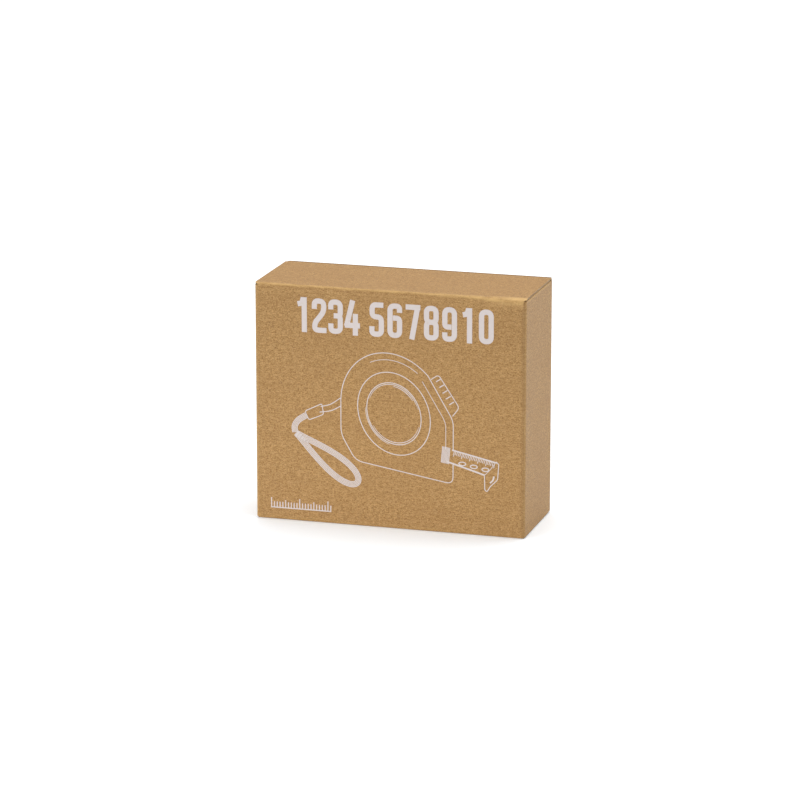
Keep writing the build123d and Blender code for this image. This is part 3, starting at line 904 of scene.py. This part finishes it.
# the case: a round back and top, a straight front with the mouth in it, and a flat base
CASE_ARC, FRONT_X, BASE_Z = 36.0, 40.0, -34.0
nose = (CASE_ARC * math.cos(math.radians(50)), CASE_ARC * math.sin(math.radians(50)))
drawing.ribbon(dial(CASE_ARC, 50, 180, 48), LINE)
drawing.ribbon(rounded([drawn(*nose), drawn(FRONT_X, 4), drawn(FRONT_X, -14)], 2.0), LINE)
base = [(-CASE_ARC, 0), (-CASE_ARC, -20), (-26, BASE_Z), (FRONT_X, BASE_Z), (FRONT_X, -21)]
drawing.ribbon(rounded([drawn(*p) for p in base], 2.5), LINE)
drawing.ribbon(dial(CASE_ARC - 4, 60, 120, 24), FINE)
inner = [(nose[0] - 4, nose[1] - 4), (FRONT_X - 5, 2), (FRONT_X - 5, -14)]
drawing.ribbon(rounded([drawn(*p) for p in inner], 2.0), FINE)
# the thumb lock, with ridges across it
drawing.ribbon(rounded([drawn(25, 26), drawn(30, 30), drawn(44, 13), drawn(39.5, 7)], 1.2), LINE)
for k in range(5):
    x, z = 28.4 + 2.2 * k, 25.4 - 3.0 * k
    drawing.ribbon([drawn(x, z), drawn(x + 3.2, z + 2.4)], 0.34)
# the mouth's lip, the blade with its graduations, and the hook
for k in range(7):
    drawing.ribbon([drawn(33 + 0.8 * k, -12.5), drawn(32 + 0.8 * k, -22.5)], 0.3)
drawing.ribbon([(68.8, 28.9), (76.5, 27.3), (84.3, 25.6)], 0.5)
drawing.ribbon([(67.0, 24.8), (73.5, 23.0), (80.1, 21.1)], 0.55)
for k in range(26):
    x = 69.6 + 0.56 * k
    z = 28.5 - 0.21 * (x - 69.6)
    drawing.ribbon([(x, z), (x - 0.35, z - (1.8 if k % 5 == 0 else 1.2))], 0.24)
for x, z in ((72.4, 24.4), (76.4, 23.7), (80.4, 23.0)):
    ring = [(x + 1.2 * math.cos(k * math.pi / 8), z + 0.6 * math.sin(k * math.pi / 8)) for k in range(16)]
    drawing.ribbon(ring, 0.34, closed=True)
hook = [(84.1, 26.0), (85.0, 25.2), (84.6, 19.8), (82.0, 17.2), (81.0, 15.4), (80.2, 16.0), (80.1, 21.1)]
drawing.ribbon(rounded(hook, 0.5), LINE)
drawing.ribbon(curve([(83.4, 20.9), (82.9, 19.4), (82.0, 18.5)]), 0.5)
drawing.ribbon([(83.6, 25.2), (82.0, 23.0), (80.2, 21.2)], FINE)
# the wrist strap: a cord, a sleeve and a looped band
drawing.ribbon(curve([drawn(-CASE_ARC, 2), (26.4, 41.6), (23.0, 40.6)]), LINE)
drawing.ribbon(curve([drawn(-CASE_ARC, -3), (26.6, 39.4), (22.6, 38.6)]), LINE)
sleeve = rounded([(23.4, 41.6), (17.4, 38.6), (18.8, 35.6), (24.0, 37.9)], 0.8, closed=True)
drawing.ribbon(sleeve, LINE, closed=True)


def band(path):
    """A woven band as fine strokes laid side by side along a smooth path."""
    width, lines, inked = 2.2, 5, 0.72
    middle = curve(path, 14)
    for k in range(lines):
        w = width * ((k + 0.5) / lines - 0.5)
        shifted = []
        for i, (x, y) in enumerate(middle):
            x0, y0 = middle[max(i - 1, 0)]
            x1, y1 = middle[min(i + 1, len(middle) - 1)]
            length = math.hypot(x1 - x0, y1 - y0)
            shifted.append((x - (y1 - y0) / length * w, y + (x1 - x0) / length * w))
        drawing.ribbon(shifted, width / lines * inked)


LOOP_START, LOOP_ALONG = (14.0, 31.0), math.radians(-36)
LOOP_LENGTH, LOOP_HALF = 27.0, 4.6
loop = []
for k in range(29):
    t = 2 * math.pi * k / 28
    far = LOOP_LENGTH * (1 - math.cos(t)) / 2
    off = LOOP_HALF * math.sin(t) * math.sin(t / 2) ** 1.5
    loop.append((LOOP_START[0] + far * math.cos(LOOP_ALONG) + off * math.sin(LOOP_ALONG),
                 LOOP_START[1] + far * math.sin(LOOP_ALONG) - off * math.cos(LOOP_ALONG)))
band([(17.9, 37.2), (15.2, 35.4), (13.8, 33.2), LOOP_START])
band(loop[1:-1])
drawing.piece("face_line_art", INK, "carton", "kraft_board")


# ---- The tape measure ----
disc_low, disc_high = node_box("front_label_disc")
AXIS_X, AXIS_Z = (disc_low[0] + disc_high[0]) / 2, (disc_low[2] + disc_high[2]) / 2
HOOK_FACE = node_box("end_hook")[1][0] - 1.0

charcoal = moulded("case_plastic", rgb(64, 68, 72), 0.5)
rubber = moulded("grip_rubber", rgb(33, 33, 35), 0.75, 1800.0, 0.5)
ring_grey = moulded("ring_plastic", rgb(188, 190, 190), 0.35, 3000.0, 0.1)
natural = moulded("spool_plastic", rgb(222, 222, 214), 0.4, 2500.0, 0.12, 0.08, Subsurface_Weight=0.1)
acetal = moulded("lock_plastic", rgb(228, 170, 32), 0.42, 2600.0, 0.15)
sleeve_black = moulded("sleeve_plastic", rgb(40, 40, 42), 0.5)
nickel = metal("nickel_steel", rgb(196, 196, 198), 0.28)
blued = metal("spring_steel", rgb(96, 104, 124), 0.35, (3000.0, 60.0, 3000.0))
black_zinc = metal("screw_steel", rgb(72, 72, 76), 0.4, (2000.0, 2000.0, 2000.0))
brass = metal("rivet_brass", rgb(212, 176, 104), 0.3)
paint = blade_paint(HOOK_FACE)
label = label_paper((AXIS_X, AXIS_Z))
cloth = webbing("wrist_webbing", rgb(38, 38, 42))
thread = moulded("sewing_thread", rgb(120, 122, 128), 0.8, 5000.0, 0.5)
black_ink = moulded("black_ink", rgb(30, 30, 32), 0.5)

FINISHES = {
    "case_front_shell": charcoal, "case_back_shell": charcoal, "front_side_ring": ring_grey,
    "back_side_ring": ring_grey, "front_label_disc": label, "back_label_disc": label,
    "case_screws": black_zinc, "centre_post": nickel, "mouth_bumper": rubber, "blade_guide": natural,
    "grip_band": rubber, "lock_button": acetal, "lock_brake_arm": natural, "spool_drum": natural,
    "spool_cover": natural, "mainspring": blued, "wound_blade": paint, "blade": paint,
    "hook_rivets": brass, "end_hook": nickel, "strap_pin": nickel, "strap_neck": sleeve_black,
    "strap_sleeve": sleeve_black,
}
for name, material in FINISHES.items():
    nodes[name].data.materials.clear()
    nodes[name].data.materials.append(material)

# The wrist strap: one length of webbing, up over the case, folded back on itself, in two layers.
STRAP_HALF = node_box("wrist_strap")[1][1]
IN_R, OUT_R = 34.6, 38.0  # the two passes' radii over the case
START, TURN, END = 165.0, 78.0, 156.0  # angles on the case where the strap starts, folds back and ends
MID_R, BEND_R = (IN_R + OUT_R) / 2, (OUT_R - IN_R) / 2
V_PASS = math.radians(START - TURN) * IN_R
V_BEND = V_PASS + math.pi * BEND_R
V_STRAP = V_BEND + math.radians(END - TURN) * OUT_R
STRAP_T = 0.95


def strap_line(v):
    """The webbing at length v: (x, z) about the spool's axis, and a normal on the same side all along."""
    if v < V_PASS:
        a = math.radians(START) - v / IN_R
        return IN_R * math.cos(a), IN_R * math.sin(a), math.cos(a), math.sin(a)
    if v < V_BEND:
        t = math.radians(TURN)
        cx, cz = MID_R * math.cos(t), MID_R * math.sin(t)
        a = t - math.pi + (v - V_PASS) / BEND_R
        return cx + BEND_R * math.cos(a), cz + BEND_R * math.sin(a), -math.cos(a), -math.sin(a)
    a = math.radians(TURN) + (v - V_BEND) / OUT_R
    radius = OUT_R - 1.2 * smooth(math.degrees(a), 124, 144)  # the sewn end lies on the first pass
    return radius * math.cos(a), radius * math.sin(a), -math.cos(a), -math.sin(a)


def strap_layer(offset):
    """A layer of the strap at this distance from its line."""

    def place(u, v):
        x, z, nx, nz = strap_line(min(max(v, 0), V_STRAP))
        edge = 0.12 * abs(u / STRAP_HALF) ** 6
        lift = offset - math.copysign(edge, offset)
        wave = 0.05 * math.sin(v * 0.9 + offset)
        return AXIS_X + x + nx * (lift + wave), u, AXIS_Z + z + nz * (lift + wave)

    return place


strap_us = samples((-STRAP_HALF, -STRAP_HALF + 0.8, 3), (STRAP_HALF - 0.8, 12), (STRAP_HALF, 3))
strap_vs = samples((2.0, V_PASS, 40), (V_BEND, 14), (V_STRAP, 36))
LAYER_GAP = 0.08
OUTSIDE = -STRAP_T - LAYER_GAP
for offset, name in ((OUTSIDE, "wrist_strap_outer"), (LAYER_GAP, "wrist_strap_inner")):
    layer = board_piece(
        name, strap_layer(offset), strap_us, strap_vs, lambda u, v: 0.0, STRAP_T, materials=(cloth, cloth),
    )
    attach(layer, "tape_measure")
    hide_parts("wrist_strap")


PITCH, STITCH_W, STITCH_H = 1.35, 0.2, 0.16


def sewn_seam(name, lines):
    """Raised stitches along straight lines of (u, v) on the strap's outside."""
    surface, below = strap_layer(OUTSIDE), strap_layer(OUTSIDE + 1)
    points, faces = [], []
    for (u0, v0), (u1, v1) in lines:
        length = math.hypot(u1 - u0, v1 - v0)
        du, dv = (u1 - u0) / length, (v1 - v0) / length
        count = round(length / PITCH)
        for k in range(count):
            middle = (k + 0.5) * length / count
            first = len(points)
            for along, size in ((-0.5, 0.3), (-0.3, 0.9), (0.0, 1.0), (0.3, 0.9), (0.5, 0.3)):
                far = middle + along * PITCH * 0.8
                u, v = u0 + du * far, v0 + dv * far
                out = (Vector(surface(u, v)) - Vector(below(u, v))).normalized()
                for turn in range(6):
                    a = turn * math.pi / 3
                    side = STITCH_W * size * math.cos(a)
                    p = Vector(surface(u - dv * side, v + du * side))
                    points.append((p + out * (STITCH_H * size * math.sin(a))) * MM)
            for ring in range(4):
                for turn in range(6):
                    a, b = first + ring * 6 + turn, first + ring * 6 + (turn + 1) % 6
                    faces.append([a, b, b + 6, a + 6])
            faces.append([first + t for t in range(5, -1, -1)])
            faces.append([first + 24 + t for t in range(6)])
    mesh = bpy.data.meshes.new(name)
    mesh.from_pydata(points, [], faces)
    piece = new_piece(name, mesh, [thread], "tape_measure")


SEAM_U, SEAM_IN, SEAM_OUT = 3.7, V_STRAP - 10.5, V_STRAP - 1.6
box = [(-SEAM_U, SEAM_IN), (SEAM_U, SEAM_IN), (SEAM_U, SEAM_OUT), (-SEAM_U, SEAM_OUT)]
sides = [(box[k], box[(k + 1) % 4]) for k in range(4)]
sewn_seam("wrist_strap_box_stitch", sides + [(box[0], box[2]), (box[1], box[3])])
sewn_seam("wrist_strap_bar_tack", [((-SEAM_U, V_BEND + d), (SEAM_U, V_BEND + d)) for d in (5.0, 5.8)])


# ---- Numerals on the labels and on the blade ----
def on_label(side):
    """side is -1 for the label towards the carton's face and 1 for the one behind."""
    y = side * max(abs(disc_low[1]), abs(disc_high[1]))
    return lambda across, up, lift: (AXIS_X - side * across, y + side * lift, AXIS_Z + up)


NUMERAL_RING, NUMERAL_SCALE, CENTRE_SCALE = 11.9, 0.2, 0.3
for side, where in ((-1, "front"), (1, "back")):
    dial_print = Print(on_label(side))
    for value in range(1, 11):
        angle = math.radians(90 - 36 * value)
        text, pitch = str(value), (DIGIT_W + 0.8) * NUMERAL_SCALE
        left = NUMERAL_RING * math.cos(angle) - len(text) * pitch / 2
        base = NUMERAL_RING * math.sin(angle) - DIGIT_H * NUMERAL_SCALE / 2
        for k, digit in enumerate(text):
            numeral(dial_print, digit, left + k * pitch, base, NUMERAL_SCALE, 1.7)
    left, base = -DIGIT_W * CENTRE_SCALE / 2, -DIGIT_H * CENTRE_SCALE / 2
    numeral(dial_print, "5", left, base, CENTRE_SCALE, 2.0)
    dial_print.piece(f"{where}_label_numerals", black_ink, "tape_measure", "label_paper")

BLADE_HOLLOW_R, BLADE_TOP_Z = 24.0, 1.8  # the blade's hollow side and its centre above the spool's axis


def on_blade(across, up, lift):
    """A point of the blade's hollow side, across counted from the hook."""
    return HOOK_FACE - across, -up, AXIS_Z + BLADE_TOP_Z - math.sqrt(BLADE_HOLLOW_R ** 2 - up ** 2) + lift


blade_print = Print(on_blade)
for value in range(1, 5):
    numeral(blade_print, str(value), 10 * value - DIGIT_W * 0.17, -2.0, 0.34, 1.8)
blade_print.piece("blade_numerals", black_ink, "blade", "blade_steel")


# ---- Floor, light and camera ----
floor_mesh = bpy.data.meshes.new("floor")
floor_mesh.from_pydata([(-6, -6, 0), (6, -6, 0), (6, 6, 0), (-6, 6, 0)], [], [(0, 1, 2, 3)])
floor = bpy.data.objects.new("floor", floor_mesh)
scene.collection.objects.link(floor)
pale = Nodes("pale_floor")
pale.finish((0.89, 0.93, 0.965, 1.0), 0.9, Emission_Color=(1.0, 1.0, 1.0, 1.0), Emission_Strength=0.15)
floor_mesh.materials.append(pale.material)

world = bpy.data.worlds.new("studio")
world.use_nodes = True
world.node_tree.nodes["Background"].inputs[0].default_value = (1, 1, 1, 1)
world.node_tree.nodes["Background"].inputs[1].default_value = 0.62
scene.world = world
scene.view_settings.view_transform = "Standard"


def add_lamp(name, kind, place, aim, power):
    """A lamp in the scene, turned to its aim. Returns its light data."""
    data = bpy.data.lights.new(name, kind)
    data.energy = power
    lamp = bpy.data.objects.new(name, data)
    scene.collection.objects.link(lamp)
    lamp.location = place
    lamp.rotation_mode = "QUATERNION"
    lamp.rotation_quaternion = (Vector(aim) - Vector(place)).to_track_quat("-Z", "Y")
    return data


def softbox(name, place, aim, size, power):
    data = add_lamp(name, "AREA", place, aim, power)
    data.shape = "RECTANGLE"
    data.size, data.size_y = size


# a soft spot aimed under the face, so that the face isn't darker towards its foot
low_key = add_lamp("low_key_lamp", "SPOT", (-0.62, -1.05, 0.16), (-0.02, -0.018, -0.05), 33.0)
low_key.shadow_soft_size = 0.12
low_key.spot_size, low_key.spot_blend = math.radians(16.6), 1.0
softbox("top_softbox", (0.1, 0.3, 1.6), (0, 0, 0.0), (1.6, 1.4), 21.5)
softbox("rim_softbox", (0.75, 1.35, 0.3), (0, 0, 0.04), (1.0, 0.6), 2.0)

AZIMUTH, ELEVATION, DISTANCE, LENS = math.radians(16.35), math.radians(14.45), 1.353, 180.0
AIM_LEFT, AIM_DOWN = 0.0164, 0.0091  # from the carton's middle, as shares of its height
centre = (cad_low + cad_high) / 2
level = math.cos(ELEVATION)
back = Vector((math.sin(AZIMUTH) * level, -math.cos(AZIMUTH) * level, math.sin(ELEVATION)))
rightward = Vector((math.cos(AZIMUTH), math.sin(AZIMUTH), 0))
upward = back.cross(rightward)
aim = centre - rightward * AIM_LEFT * HEIGHT * MM - upward * AIM_DOWN * HEIGHT * MM
camera_data = bpy.data.cameras.new("camera")
camera_data.lens = LENS
camera = bpy.data.objects.new("camera", camera_data)
scene.collection.objects.link(camera)
camera.location = aim + back * DISTANCE
camera.rotation_mode = "QUATERNION"
camera.rotation_quaternion = (-back).to_track_quat("-Z", "Y")
scene.camera = camera
